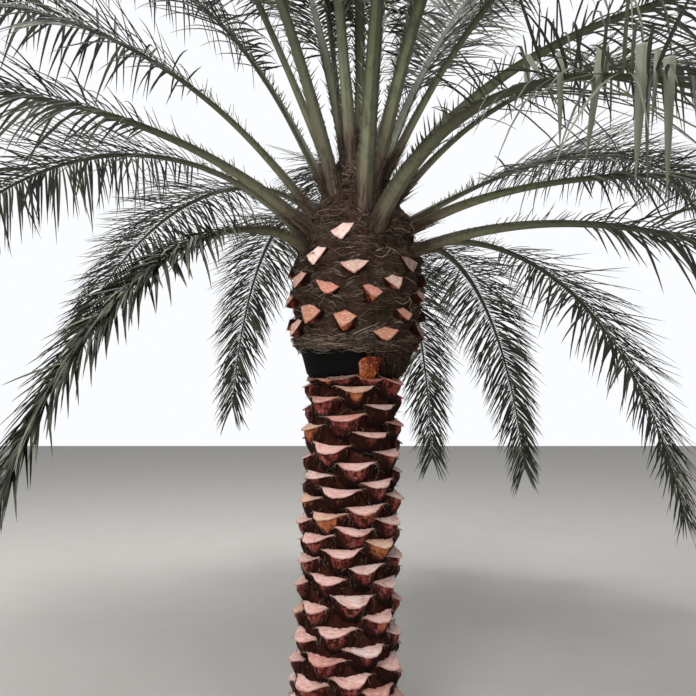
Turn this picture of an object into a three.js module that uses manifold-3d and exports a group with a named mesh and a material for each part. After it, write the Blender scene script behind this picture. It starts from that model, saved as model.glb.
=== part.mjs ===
// Date palm: one leaning trunk covered with trimmed leaf bases, and 29 arching fronds.
// Millimetres and degrees, +Z up, origin at the centre of the flat cut at ground level.
// Azimuths are counted from +X towards +Y, so the front of the tree is at -90.
import * as THREE from 'three';
import { ConvexGeometry } from 'three/addons/geometries/ConvexGeometry.js';
import { mergeVertices } from 'three/addons/utils/BufferGeometryUtils.js';
import Module from 'manifold-3d';

const wasm = await Module();
wasm.setup();

// The trunk: its core as height and radius, from the root flare to the growing tip
const trunk = {
  leanPerMetre: 31,
  sides: 14,
  profile: [
    [0, 262], [90, 243], [230, 226], [400, 207], [600, 198], [1000, 192], [1400, 186], [1585, 183],
    [1610, 208], [1715, 240], [1745, 264], [1850, 268], [1950, 283], [2090, 276], [2200, 250],
    [2290, 218], [2390, 170], [2480, 128], [2570, 92], [2650, 62], [2720, 34],
  ],
  tipHeight: 2740,
};

// The crown's spiral: each frond stands this far round from the one before it
const divergence = 137.5;

// Leaf bases that were cut short, zone by zone on a spiral of its own; height is that of the cut
// face's upper edge. The growth wave sets faces closer in lean years and further apart in good ones
const stubZones = [
  {
    startAzimuth: 136, turn: 137.1, startHeight: 1520, pitch: 13.3, first: -110, last: 4,
    wave: { height: 20, span: 54, middle: -40 },
    width: 158, out: 42, faceDrop: 38, footDrop: 112,
  },
  {
    startAzimuth: 109, turn: 137.4, startHeight: 1980, pitch: 10.7, first: -19, last: 14,
    wave: { height: 0, span: 54, middle: 0 },
    width: 108, out: 32, faceDrop: 62, footDrop: 112,
  },
];
const stubSink = 40;

// A leaf base's outline, down from the cut face's upper edge: how far out, how wide and how low,
// as shares of its out, its width, and its faceDrop down to the lip or its footDrop at the foot
const stubOutline = [
  { out: 0.1, wide: 0.98, face: 0, foot: 0 },
  { out: 0.62, wide: 0.74, face: 0.6, foot: 0 },
  { out: 1, wide: 0.26, face: 1, foot: 0 },
  { out: 0.2, wide: 0.4, face: 0, foot: 1 },
];

// How unlike each other the leaf bases are: turn, height, width and depth
const stubVariation = { azimuth: 2.5, height: 5, width: 0.07, out: 0.16 };

// Two single ones: a torn stub on the close-trimmed band under the collar, and the highest cut
const loneStubs = [
  { azimuth: -75, height: 1676, width: 84, out: 30, faceDrop: 34, footDrop: 96 },
  { azimuth: -106, height: 2236, width: 104, out: 40, faceDrop: 60, footDrop: 112 },
];

// The crown: places on the same kind of spiral, from the oldest to the youngest frond; the frond
// at the trimmed place was cut like those below it
const crown = {
  places: 30,
  trimmed: 4,
  startAzimuth: 57,
  lowest: 2110,
  highest: 2610,
  heightPower: 1.35,
  foot: 0.8,
  oldestLean: 80,
  youngestLean: 2,
  leanPower: 0.85,
  length: 3400,
  youngestLength: 2700,
  matureUntil: 0.8,
  fullArch: 112,
  tipAngle: 158,
  youngestArch: 8,
  archFadesFrom: 0.52,
  archFadesTo: 0.86,
  oldestPower: 0.7,
  youngestPower: 1.3,
  splitOver: 60,
  splitShare: 0.4,
  trunkGap: 0.4,
  splitGap: 0.3,
};

// Fronds whose sweep is known, by place: heading, lean at the foot, arch from foot to tip, the
// power by which the bend grows, and the length where it isn't the usual one. Frond 1 stands
// at another azimuth than the one it heads for
const sweeps = {
  0: { heading: 62, lean: 50, arch: 110, power: 0.75 },
  1: { heading: -130, footAzimuth: -160, lean: 20, arch: 144, power: 0.36, length: 1900 },
  2: { heading: -22, lean: 66, arch: 92, power: 0.75, length: 3100 },
  3: { heading: 110, lean: 36, arch: 122, power: 0.8 },
  5: { heading: 38, lean: 54, arch: 106, power: 0.65 },
  6: { heading: 160, lean: 33, arch: 115, power: 0.82 },
  7: { heading: -72, lean: 50, arch: 108, power: 0.66 },
  9: { heading: -158, lean: 50, arch: 108, power: 1.03 },
  10: { heading: -8, lean: 50, arch: 76, power: 0.52 },
  11: { heading: 132, lean: 14, arch: 111, power: 0.4 },
  12: { heading: -84, lean: 20, arch: 50, power: 0.8 },
  13: { heading: 38, lean: 60, arch: 45, power: 1.6 },
  14: { heading: -178, lean: 37, arch: 110, power: 1.4 },
  15: { heading: -44, lean: 26, arch: 125, power: 0.63 },
  17: { heading: -132, lean: 20, arch: 85, power: 1.5 },
  18: { heading: 12, lean: 37, arch: 118, power: 1.2 },
  19: { heading: 156, lean: 26, arch: 95, power: 1.7 },
  20: { heading: -62, lean: 25, arch: 80, power: 1.3 },
  21: { heading: 58, lean: 27, arch: 24, power: 0.65 },
  22: { heading: -164, lean: 23, arch: 12, power: 1.1 },
  23: { heading: -14, lean: 27, arch: 112, power: 1.6 },
  25: { heading: -116, lean: 10, arch: 8, power: 1 },
  27: { heading: 168, lean: 5, arch: 8, power: 1 },
  29: { heading: 92, lean: 1, arch: 6, power: 1 },
};

// A frond's rib: a three-sided section, flat above and keeled below, by share of the length
const rib = {
  width: [[0, 98], [0.07, 76], [0.2, 56], [0.5, 32], [0.8, 17], [1, 8]],
  depth: [[0, 46], [0.07, 42], [0.2, 34], [0.5, 20], [0.8, 11], [1, 6]],
  aboveMiddle: 0.35,
  youngestBase: 0.66,
  baseEnds: 0.2,
  petioleShare: 0.24,
  petioleSteps: 4,
  bladeSteps: 24,
  fineStep: 0.005,
  twist: 34,
};

// Its leaflets: each grows from one step of the rib, and stands for a few real ones; on a shorter
// frond they are as much shorter
const leaflet = {
  longest: 430,
  firstShare: 0.25,
  growth: 4,
  tipFall: 0.42,
  spreadAtFoot: 62,
  spreadAtTip: 34,
  raised: 18,
  lowered: 4,
  droop: 0.22,
  outwardAtLeast: 0.35,
  shrinks: [1, 0.8, 0.6, 0.4],
  clearance: 1.02,
};

const barkMaterial = new THREE.MeshStandardMaterial({ color: 0x7c5142, roughness: 0.9, metalness: 0 });
const frondMaterial = new THREE.MeshStandardMaterial({ color: 0x5a5f4c, roughness: 0.62, metalness: 0 });

const radians = THREE.MathUtils.degToRad;
const up = new THREE.Vector3(0, 0, 1);

// Value at x on a line through points given as pairs
function along(pairs, x) {
  const last = pairs.length - 1;
  if (x <= pairs[0][0]) return pairs[0][1];
  if (x >= pairs[last][0]) return pairs[last][1];
  const next = pairs.findIndex((pair) => pair[0] > x);
  const [x0, y0] = pairs[next - 1];
  const [x1, y1] = pairs[next];
  return y0 + ((y1 - y0) * (x - x0)) / (x1 - x0);
}

// A repeatable number from -1 to 1 for a whole number, so that no two leaf bases are alike
function vary(seed) {
  const wave = Math.sin(seed * 12.9898 + 4.1) * 43758.5453;
  return 2 * (wave - Math.floor(wave)) - 1;
}

// Point at a radius, azimuth and height about the leaning axis
function trunkPoint(radius, azimuth, height) {
  const angle = radians(azimuth);
  const shift = (trunk.leanPerMetre * height) / 1000;
  return new THREE.Vector3(shift + radius * Math.cos(angle), radius * Math.sin(angle), height);
}

function solidOf(geometry) {
  const bare = geometry.clone();
  bare.deleteAttribute('normal');
  bare.deleteAttribute('uv');
  const merged = mergeVertices(bare, 1e-3);
  return solidFrom(merged.attributes.position.array, merged.index.array);
}

function solidFrom(positions, triangles) {
  const mesh = new wasm.Mesh({
    numProp: 3,
    vertProperties: Float32Array.from(positions),
    triVerts: Uint32Array.from(triangles),
  });
  return new wasm.Manifold(mesh);
}

function geometryOf(solid) {
  const { vertProperties, triVerts } = solid.getMesh();
  const geometry = new THREE.BufferGeometry();
  geometry.setAttribute('position', new THREE.BufferAttribute(Float32Array.from(vertProperties), 3));
  geometry.setIndex(Array.from(triVerts));
  geometry.computeVertexNormals();
  return geometry;
}

function hullOf(points) {
  return solidOf(new ConvexGeometry(points));
}

// The core turned about the axis, then leant over; extra makes it fatter, for cutting ribs clear
function coreSolid(extra) {
  const outline = [new THREE.Vector2(0, 0)];
  for (const [height, radius] of trunk.profile) outline.push(new THREE.Vector2(radius + extra, height));
  outline.push(new THREE.Vector2(0, trunk.tipHeight + extra));
  const geometry = new THREE.LatheGeometry(outline, trunk.sides);
  geometry.rotateX(Math.PI / 2);
  const position = geometry.attributes.position;
  for (let i = 0; i < position.count; i += 1) {
    position.setX(i, position.getX(i) + (trunk.leanPerMetre * position.getZ(i)) / 1000);
  }
  return solidOf(geometry);
}

// One cut leaf base: a face that slopes down and out, on a wedge that narrows to its foot
function stubSolid({ azimuth, height, width, out, faceDrop, footDrop }) {
  const radius = along(trunk.profile, height);
  const points = [
    trunkPoint(radius - stubSink, azimuth, height),
    trunkPoint(radius - stubSink, azimuth, height - footDrop),
  ];
  for (const corner of stubOutline) {
    for (const side of [-1, 1]) {
      const turn = THREE.MathUtils.radToDeg((side * corner.wide * width) / 2 / radius);
      const drop = corner.face * faceDrop + corner.foot * footDrop;
      points.push(trunkPoint(radius + corner.out * out, azimuth + turn, height - drop));
    }
  }
  return hullOf(points);
}

function stubList() {
  const list = [...loneStubs];
  for (const zone of stubZones) {
    for (let k = zone.first; k <= zone.last; k += 1) {
      const swell = Math.sin((2 * Math.PI * (zone.wave.middle - k)) / zone.wave.span);
      list.push({
        azimuth: zone.startAzimuth + zone.turn * k + stubVariation.azimuth * vary(k),
        height: zone.startHeight + zone.pitch * k + zone.wave.height * swell
          + stubVariation.height * vary(k + 0.5),
        width: zone.width * (1 + stubVariation.width * vary(k + 0.25)),
        out: zone.out * (1 + stubVariation.out * vary(k + 0.75)),
        faceDrop: zone.faceDrop,
        footDrop: zone.footDrop,
      });
    }
  }
  return list;
}

// Everything that sets one frond's sweep, by rule from its age, or from the sweeps that are known
function frondPlan(index) {
  const age = index / (crown.places - 1);
  const archShare = THREE.MathUtils.clamp(
    (crown.archFadesTo - age) / (crown.archFadesTo - crown.archFadesFrom), 0, 1);
  const lengthFall = Math.max(0, (age - crown.matureUntil) / (1 - crown.matureUntil));
  const lean = crown.youngestLean
    + (crown.oldestLean - crown.youngestLean) * (1 - age) ** crown.leanPower;
  const fullArch = Math.min(crown.fullArch, crown.tipAngle - lean);
  const rule = {
    heading: crown.startAzimuth + divergence * index,
    lean,
    arch: crown.youngestArch + (fullArch - crown.youngestArch) * archShare,
    power: crown.oldestPower + (crown.youngestPower - crown.oldestPower) * age,
    length: crown.length - (crown.length - crown.youngestLength) * lengthFall,
  };
  const sweep = { ...rule, ...sweeps[index] };
  return {
    footAzimuth: sweep.heading,
    ...sweep,
    index,
    height: crown.lowest + (crown.highest - crown.lowest) * age ** crown.heightPower,
    baseWidth: 1 - (1 - rib.youngestBase) * age ** 2,
    twist: rib.twist * vary(index + 0.4),
  };
}

// The rib's path as stations: place, direction, sideways and upper side, and the section's size
function frondStations(plan) {
  const heading = radians(plan.heading);
  const outward = new THREE.Vector3(Math.cos(heading), Math.sin(heading), 0);
  const level = new THREE.Vector3(-Math.sin(heading), Math.cos(heading), 0);
  const footRadius = crown.foot * along(trunk.profile, plan.height);
  const shares = [];
  for (let i = 0; i < rib.petioleSteps; i += 1) shares.push((rib.petioleShare * i) / rib.petioleSteps);
  for (let i = 0; i < rib.bladeSteps; i += 1) {
    shares.push(rib.petioleShare + ((1 - rib.petioleShare) * i) / rib.bladeSteps);
  }
  shares.push(1);
  const place = trunkPoint(footRadius, plan.footAzimuth, plan.height);
  const stations = [];
  let walked = 0;
  for (const share of shares) {
    while (walked < share - 1e-9) {
      const step = Math.min(rib.fineStep, share - walked);
      const bend = radians(plan.lean + plan.arch * (walked + step / 2) ** plan.power);
      place.addScaledVector(outward, Math.sin(bend) * step * plan.length);
      place.addScaledVector(up, Math.cos(bend) * step * plan.length);
      walked += step;
    }
    const bend = radians(plan.lean + plan.arch * share ** plan.power);
    const forward = outward.clone().multiplyScalar(Math.sin(bend)).addScaledVector(up, Math.cos(bend));
    const sideways = level.clone().applyAxisAngle(forward, radians(plan.twist * share));
    const upper = new THREE.Vector3().crossVectors(forward, sideways);
    const slimmer = share < rib.baseEnds ? plan.baseWidth : 1;
    stations.push({
      share,
      place: place.clone(),
      forward,
      sideways,
      upper,
      width: along(rib.width, share) * slimmer,
      depth: along(rib.depth, share) * slimmer,
    });
  }
  return stations;
}

// The three corners of the section at a station: left edge, right edge and keel
function section(station) {
  const { place, sideways, upper, width, depth } = station;
  const corner = (across, raise) => place.clone()
    .addScaledVector(sideways, across * width)
    .addScaledVector(upper, raise * depth);
  return [corner(0.5, rib.aboveMiddle), corner(-0.5, rib.aboveMiddle), corner(0, rib.aboveMiddle - 1)];
}

// Where a leaflet's tip lies when it grows from the step between two stations
function leafletTip(from, to, side, step, plan, scale) {
  const share = (from.share - rib.petioleShare) / (1 - rib.petioleShare);
  const length = leaflet.longest * (plan.length / crown.length) * scale
    * Math.min(1, leaflet.firstShare + leaflet.growth * share) * (1 - leaflet.tipFall * share ** 2);
  const spread = radians(leaflet.spreadAtFoot + (leaflet.spreadAtTip - leaflet.spreadAtFoot) * share);
  const raise = radians(step % 2 ? leaflet.raised : leaflet.lowered);
  const direction = from.forward.clone().multiplyScalar(Math.cos(spread))
    .addScaledVector(from.sideways, side * Math.sin(spread) * Math.cos(raise))
    .addScaledVector(from.upper, Math.sin(spread) * Math.sin(raise))
    .addScaledVector(up, -leaflet.droop);
  const sidewards = direction.dot(from.sideways) * side;
  if (sidewards < leaflet.outwardAtLeast) {
    direction.addScaledVector(from.sideways, side * (leaflet.outwardAtLeast - sidewards));
  }
  const middle = from.place.clone().add(to.place).multiplyScalar(0.5);
  return middle.addScaledVector(direction.normalize(), length);
}

// One closed mesh from a run of stations, with the leaflets that tips names as step and side
function bladeSolid(stations, tips) {
  const positions = [];
  const triangles = [];
  const add = (point) => positions.push(point.x, point.y, point.z) / 3 - 1;
  const rings = stations.map((station) => section(station).map(add));
  triangles.push([rings[0][0], rings[0][2], rings[0][1]]);
  for (let i = 0; i + 1 < rings.length; i += 1) {
    const [left, right, keel] = rings[i];
    const [nextLeft, nextRight, nextKeel] = rings[i + 1];
    const walls = [
      { quad: [left, right, nextRight, nextLeft], tip: null },
      { quad: [left, nextLeft, nextKeel, keel], tip: tips.get(`${i} 1`) },
      { quad: [right, keel, nextKeel, nextRight], tip: tips.get(`${i} -1`) },
    ];
    for (const { quad, tip } of walls) {
      if (tip) {
        const apex = add(tip);
        for (let c = 0; c < 4; c += 1) triangles.push([quad[c], quad[(c + 1) % 4], apex]);
      } else {
        triangles.push([quad[0], quad[1], quad[2]], [quad[0], quad[2], quad[3]]);
      }
    }
  }
  const end = rings[rings.length - 1];
  triangles.push([end[0], end[1], end[2]]);
  return solidFrom(positions, triangles.flat());
}

// A station a little further on, where the outer part of a split frond starts
function movedOn(station, distance) {
  return { ...station, place: station.place.clone().addScaledVector(station.forward, distance) };
}

// The parts of one frond: the whole of it, or an inner and an outer part split at the bend
function frondParts(plan) {
  const stations = frondStations(plan);
  const name = `frond_${String(plan.index + 1).padStart(2, '0')}`;
  if (plan.arch <= crown.splitOver) return [{ name, plan, stations, firstStep: 0 }];
  const cut = rib.petioleSteps + Math.round(rib.bladeSteps * crown.splitShare);
  const outer = stations.slice(cut);
  outer[0] = movedOn(outer[0], crown.splitGap);
  return [
    { name: `${name}_inner`, plan, stations: stations.slice(0, cut + 1), firstStep: 0 },
    { name: `${name}_outer`, plan, stations: outer, firstStep: cut },
  ];
}

function boxesMeet(a, b) {
  return a.min.every((low, axis) => low <= b.max[axis] && b.min[axis] <= a.max[axis]);
}

function touches(solid, box, others) {
  for (const other of others) {
    if (!boxesMeet(box, other.box)) continue;
    const shared = solid.intersect(other.solid);
    const volume = shared.volume();
    shared.delete();
    if (volume > 0) return true;
  }
  return false;
}

function withBox(solid, owner) {
  return { solid, box: solid.boundingBox(), owner };
}

// A leaflet alone, a little larger than life, for finding out whether it would touch anything
function leafletProbe(from, to, side, tip) {
  const wall = (station) => {
    const [left, right, keel] = section(station);
    return [side > 0 ? left : right, keel];
  };
  const corners = [...wall(from), ...wall(to)];
  const middle = corners.reduce((sum, corner) => sum.add(corner), new THREE.Vector3()).divideScalar(4);
  const points = [...corners, tip].map((point) => (
    point.clone().sub(middle).multiplyScalar(leaflet.clearance).add(middle)));
  return hullOf(points);
}

// Fronds: all bare ribs first, then leaflets in turn, each skipped or shortened where it would touch
const clearCore = coreSolid(crown.trunkGap);
const plans = Array.from({ length: crown.places }, (_, index) => frondPlan(index))
  .filter((plan) => plan.index !== crown.trimmed);
const parts = plans.flatMap(frondParts);
for (const part of parts) {
  const bare = bladeSolid(part.stations, new Map());
  part.bare = withBox(bare.subtract(clearCore), part);
}

// Trunk: the core with every leaf base joined on, except a base that would touch a rib
const bareRibs = parts.map((part) => part.bare);
let trunkSolid = coreSolid(0);
for (const stub of stubList()) {
  const piece = stubSolid(stub);
  if (!touches(piece, piece.boundingBox(), bareRibs)) trunkSolid = trunkSolid.add(piece);
}
const groundSize = 2000;
const belowGround = new THREE.BoxGeometry(groundSize, groundSize, groundSize);
belowGround.translate(0, 0, -groundSize / 2);
trunkSolid = trunkSolid.subtract(solidOf(belowGround));

const standing = [withBox(trunkSolid, null), ...bareRibs];
for (const part of parts) {
  part.tips = new Map();
  const { stations, plan } = part;
  for (let i = 0; i + 1 < stations.length; i += 1) {
    const step = part.firstStep + i - rib.petioleSteps;
    if (step < 0) continue;
    for (const side of [1, -1]) {
      const others = standing.filter((entry) => entry.owner !== part);
      for (const scale of leaflet.shrinks) {
        const tip = leafletTip(stations[i], stations[i + 1], side, step, plan, scale);
        const probe = withBox(leafletProbe(stations[i], stations[i + 1], side, tip), part);
        if (touches(probe.solid, probe.box, others)) {
          probe.solid.delete();
          continue;
        }
        part.tips.set(`${i} ${side}`, tip);
        standing.push(probe);
        break;
      }
    }
  }
}

const group = new THREE.Group();
const trunkMesh = new THREE.Mesh(geometryOf(trunkSolid), barkMaterial);
trunkMesh.name = 'trunk';
group.add(trunkMesh);
for (const part of parts) {
  const solid = bladeSolid(part.stations, part.tips).subtract(clearCore);
  const mesh = new THREE.Mesh(geometryOf(solid), frondMaterial);
  mesh.name = part.name;
  group.add(mesh);
}

export default group;
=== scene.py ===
# Date palm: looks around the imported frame, in metres. Azimuths run from +X towards +Y; the front is at -90
import math

import bpy
import numpy as np
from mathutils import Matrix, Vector, noise


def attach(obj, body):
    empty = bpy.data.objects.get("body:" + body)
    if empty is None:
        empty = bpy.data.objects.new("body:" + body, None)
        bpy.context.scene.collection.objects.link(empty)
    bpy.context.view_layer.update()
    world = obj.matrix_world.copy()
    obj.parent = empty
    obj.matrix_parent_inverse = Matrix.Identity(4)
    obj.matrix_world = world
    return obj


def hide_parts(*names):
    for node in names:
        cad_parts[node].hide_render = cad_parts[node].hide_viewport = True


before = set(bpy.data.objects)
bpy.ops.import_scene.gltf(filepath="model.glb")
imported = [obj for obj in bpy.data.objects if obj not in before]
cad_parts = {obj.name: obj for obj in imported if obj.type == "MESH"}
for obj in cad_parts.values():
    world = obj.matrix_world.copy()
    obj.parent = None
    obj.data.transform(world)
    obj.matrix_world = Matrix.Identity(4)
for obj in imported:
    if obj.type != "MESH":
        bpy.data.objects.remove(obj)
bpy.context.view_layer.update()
scene = bpy.context.scene
up = np.array([0.0, 0.0, 1.0])

# The trunk's core as height and radius, and its lean; the same driving sizes as the solids have
trunk = {
    "lean": 0.031,
    "profile": [
        (0, 0.262), (0.09, 0.243), (0.23, 0.226), (0.4, 0.207), (0.6, 0.198), (1.0, 0.192), (1.4, 0.186),
        (1.585, 0.183), (1.61, 0.208), (1.715, 0.24), (1.745, 0.264), (1.85, 0.268), (1.95, 0.283),
        (2.09, 0.276), (2.2, 0.25), (2.29, 0.218), (2.39, 0.17), (2.48, 0.128), (2.57, 0.092), (2.65, 0.062),
        (2.72, 0.034),
    ],
    "tip": 2.74,
}
band = {"from": 1.59, "to": 1.725}

# Leaf bases that were cut short, each zone on its own spiral; height is that of the cut face's inner edge.
# The wave sets faces closer in lean years and further apart in good ones. A cut is flat: slope is its fall
# per metre outwards, start and out the reach of its inner and outer edge, and wing that of its two ends
lowerBases = {
    "azimuth": 136, "turn": 137.1, "height": 1.52, "pitch": 0.0133, "first": -110, "last": 4,
    "wave": {"height": 0.02, "span": 54, "middle": -40},
    "width": 0.178, "out": 0.042, "footDrop": 0.118, "start": -0.008, "wing": 0.008, "innerPower": 3,
    "belly": (2.1, 1.1), "bellyWidth": 0.78, "thinWing": 0.1, "slope": 0.46, "roll": 0.08, "skew": 0.3,
    "footWidth": 0.74, "fall": 0.8, "ledge": 0.011,
}
collarBases = {
    "azimuth": 109, "turn": 137.4, "height": 1.98, "pitch": 0.0107, "first": -19, "last": 14,
    "wave": None, "width": 0.104, "out": 0.04, "footDrop": 0.072, "start": 0.01, "wing": 0.024,
    "innerPower": 1.1, "belly": (1.2, 1), "bellyWidth": 1, "thinWing": 0, "slope": 1.95, "roll": 0.34,
    "skew": 0.3, "footWidth": 0.7, "fall": 1.5, "ledge": 0.006,
}
bandBases = {
    **lowerBases, "azimuth": 100, "height": 1.588, "pitch": 0.0012, "first": 0, "last": 9, "wave": None,
    "width": 0.13, "out": 0.024, "footDrop": 0.05, "start": 0.0, "wing": 0.012, "bellyWidth": 0.8,
    "thinWing": 0.13, "slope": 0.5, "roll": 0.12, "skew": 0.32, "footWidth": 0.9, "ledge": 0.008,
}
baseVariation = {"azimuth": 2.5, "height": 0.005, "width": 0.07, "out": 0.16, "slope": 0.24, "curl": 0.004}
lowFaces = {"from": 0.95, "deeper": 0.03}
highestCut = {"azimuth": -106, "height": 2.236, "k": 22}
# Collar faces that show, by place on the spiral: finish, warmth of the body, width, slope and roll, and where
# they aren't zero, skew, rise and turn
collarShapes = {
    22: ("pale", 0.4, 0.092, 2.3, 0.3, 0.1), 14: ("pale", 0.4, 0.098, 2.5, 0.2, 0.1, 0.012),
    9: ("clay", 0.8, 0.108, 2.0, 0.06), 6: ("clay", 0.3, 0.1, 2.2, 0.05, 0, 0, 3),
    4: ("clay", 0.4, 0.08, 1.8, 0.12, 0.3, -0.008), 1: ("ember", 0.6, 0.098, 2.4, -0.36),
    -1: ("dull", 0.2, 0.08, 1.7, 0.1), -4: ("ember", 0.9, 0.076, 2.1, -0.3, 0.1, 0.042),
    -7: ("orange", 0.7, 0.104, 2.5, -0.26), -9: ("orange", 0.5, 0.086, 1.9, -0.12),
    -12: ("orange", 0.97, 0.088, 2.2, -0.12, -0.12, 0.012), -15: ("pink", 0.6, 0.1, 2.2, 0.05, 0, 0.032),
    -17: ("orange", 0.5, 0.11, 2.0, 0.08, -0.1, 0, 4),
}
# A warm body stands out below its lip
warmBodies = {"from": 0.85, "fall": 0.8, "footDrop": 0.1}
# The other collar faces on the right, the side in shade, get painted shade: a dull face colour and a dark body
shadedSide = {"azimuth": 0, "within": 46, "warmth": 0.15}

# The crown: places on a spiral from the oldest frond to the youngest. The pairs of heights, lengths and powers
# are the oldest's and the youngest's, and leans the youngest's and the oldest's
crown = {
    "divergence": 137.5, "places": 30, "trimmed": 4, "azimuth": 57, "heights": (2.11, 2.61),
    "heightPower": 1.35, "foot": 0.8, "leans": (2, 80), "leanPower": 0.85, "lengths": (3.4, 2.7),
    "matureUntil": 0.8, "fullArch": 112, "tipAngle": 158, "youngestArch": 8, "archFades": (0.52, 0.86),
    "powers": (0.7, 1.3), "splitOver": 60,
}
# Fronds whose sweep shows, by place: heading, lean at the foot, arch, the power of the bend's growth, length
sweeps = {
    0: (62, 50, 110, 0.75), 1: (-130, 20, 144, 0.36, 1.9), 2: (-22, 66, 92, 0.75, 3.1),
    3: (110, 36, 122, 0.8), 5: (38, 54, 106, 0.65), 6: (160, 33, 115, 0.82), 7: (-72, 50, 108, 0.66),
    9: (-158, 50, 108, 1.03), 10: (-8, 50, 76, 0.52), 11: (132, 14, 111, 0.4), 12: (-84, 20, 50, 0.8),
    13: (38, 60, 45, 1.6), 14: (-178, 37, 110, 1.4), 15: (-44, 26, 125, 0.63), 17: (-132, 20, 85, 1.5),
    18: (12, 37, 118, 1.2), 19: (156, 26, 95, 1.7), 20: (-62, 25, 80, 1.3), 21: (58, 27, 24, 0.65),
    22: (-164, 23, 12, 1.1), 23: (-14, 27, 112, 1.6), 25: (-116, 10, 8, 1), 27: (168, 5, 8, 1),
    29: (92, 1, 6, 1),
}
# The one frond that stands at another azimuth than the one it heads for
footAzimuths = {1: -160}
# A frond's rib by share of its length, and the petiole's share of it. The youngest's base is narrower, which
# fades over baseEnds
rib = {
    "width": [(0, 0.094), (0.05, 0.084), (0.1, 0.076), (0.2, 0.056), (0.35, 0.032), (0.6, 0.017), (1, 0.006)],
    "depth": [(0, 0.046), (0.05, 0.041), (0.1, 0.035), (0.2, 0.024), (0.35, 0.015), (0.6, 0.009), (1, 0.005)],
    "baseWidths": (1, 0.66), "baseEnds": (0.16, 0.24), "petiole": 0.24, "twist": 34, "steps": 200,
}


# Numbers and places

def along(pairs, x):
    return np.interp(x, [pair[0] for pair in pairs], [pair[1] for pair in pairs])


# A repeatable number from -1 to 1 for each seed
def vary(seed):
    wave = math.sin(seed * 12.9898 + 4.1) * 43758.5453
    return 2 * (wave - math.floor(wave)) - 1


def between(ends, share):
    return ends[0] + (ends[1] - ends[0]) * share


def unit(vectors):
    return vectors / np.linalg.norm(vectors, axis=-1, keepdims=True)


# Points at a radius, azimuth in degrees and height about the leaning axis
def trunkPoint(radius, azimuth, height):
    angle = np.radians(azimuth)
    x = trunk["lean"] * height + radius * np.cos(angle)
    return np.stack(np.broadcast_arrays(x, radius * np.sin(angle), height), axis=-1)


# The level directions out along an azimuth and to its left
def levelDirections(azimuth):
    x, y = math.cos(math.radians(azimuth)), math.sin(math.radians(azimuth))
    return np.array([x, y, 0]), np.array([-y, x, 0])


# Level directions from the trunk's axis to points
def awayFromAxis(points):
    nothing = np.zeros(points.shape[:-1])
    return unit(points - trunkPoint(nothing, nothing, points[..., 2]))


def deselectAll():
    bpy.ops.object.select_all(action="DESELECT")


# Meshes from arrays

# Joins sections, by item, station, corner and axis, into closed tubes that end in their tips where given
def tubes(sections, tips=None):
    count, stations, corners, _ = sections.shape
    index = np.arange(count * stations * corners).reshape(count, stations, corners)
    following = np.roll(index, -1, axis=2)
    walls = np.stack([index[:, :-1], following[:, :-1], following[:, 1:], index[:, 1:]], axis=-1)
    item = np.arange(count)
    groups = [(walls.reshape(-1, 4), np.repeat(item, (stations - 1) * corners)), (index[:, 0, ::-1], item)]
    points = sections.reshape(-1, 3)
    if tips is None:
        groups.append((index[:, -1], item))
        return points, groups
    tip = np.broadcast_to((index.size + item)[:, None], (count, corners))
    ends = np.stack([index[:, -1], following[:, -1], tip], axis=-1)
    groups.append((ends.reshape(-1, 3), np.repeat(item, corners)))
    return np.concatenate([points, tips]), groups


# One piece gathered from many small ones: points, polygons with their finishes, and values on the points
class Gathering:
    def __init__(self):
        self.points, self.polygons, self.finishes, self.values, self.size = [], [], [], {}, 0

    def add(self, points, groups, finishes=0, **values):
        finishes = np.asarray(finishes)
        for polygons, owners in groups:
            self.polygons.append(polygons + self.size)
            chosen = finishes[owners] if finishes.ndim else np.full(len(owners), finishes)
            self.finishes.append(chosen)
        for name, numbers in values.items():
            self.values.setdefault(name, []).append(np.broadcast_to(numbers, len(points)))
        self.points.append(points)
        self.size += len(points)

    def addTubes(self, sections, tips=None, finishes=0, **values):
        points, groups = tubes(sections, tips)
        self.add(points, groups, finishes, **values)

    def piece(self, name, finishes, smooth=False):
        mesh = bpy.data.meshes.new(name)
        points = np.concatenate(self.points)
        corners = np.concatenate([polygons.ravel() for polygons in self.polygons])
        sizes = np.concatenate([np.full(len(polygons), polygons.shape[1]) for polygons in self.polygons])
        mesh.vertices.add(len(points))
        mesh.vertices.foreach_set("co", points.astype(np.float32).ravel())
        mesh.loops.add(len(corners))
        mesh.loops.foreach_set("vertex_index", corners.astype(np.int32))
        mesh.polygons.add(len(sizes))
        mesh.polygons.foreach_set("loop_start", (np.cumsum(sizes) - sizes).astype(np.int32))
        mesh.polygons.foreach_set("material_index", np.concatenate(self.finishes).astype(np.int32))
        mesh.polygons.foreach_set("use_smooth", np.full(len(sizes), smooth))
        mesh.update(calc_edges=True)
        for valueName, parts in self.values.items():
            attribute = mesh.attributes.new(valueName, "FLOAT", "POINT")
            attribute.data.foreach_set("value", np.concatenate(parts).astype(np.float32))
        for finish in finishes:
            mesh.materials.append(finish)
        made = bpy.data.objects.new(name, mesh)
        scene.collection.objects.link(made)
        print(f"{name}: {int((sizes - 2).sum())} triangles")
        return made


# Materials

# A socket that takes part in sums
class Wire:
    def __init__(self, finish, socket):
        self.finish, self.socket = finish, socket

    def sum(self, operation, *values):
        return self.finish.add("ShaderNodeMath", {"operation": operation}, dict(enumerate(values)))

    def __add__(self, other):
        return self.sum("ADD", self, other)

    def __sub__(self, other):
        return self.sum("SUBTRACT", self, other)

    def __rsub__(self, other):
        return self.sum("SUBTRACT", other, self)

    def __mul__(self, other):
        return self.sum("MULTIPLY", self, other)

    def size(self):
        return self.sum("ABSOLUTE", self)

    __radd__ = __add__
    __rmul__ = __mul__


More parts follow.
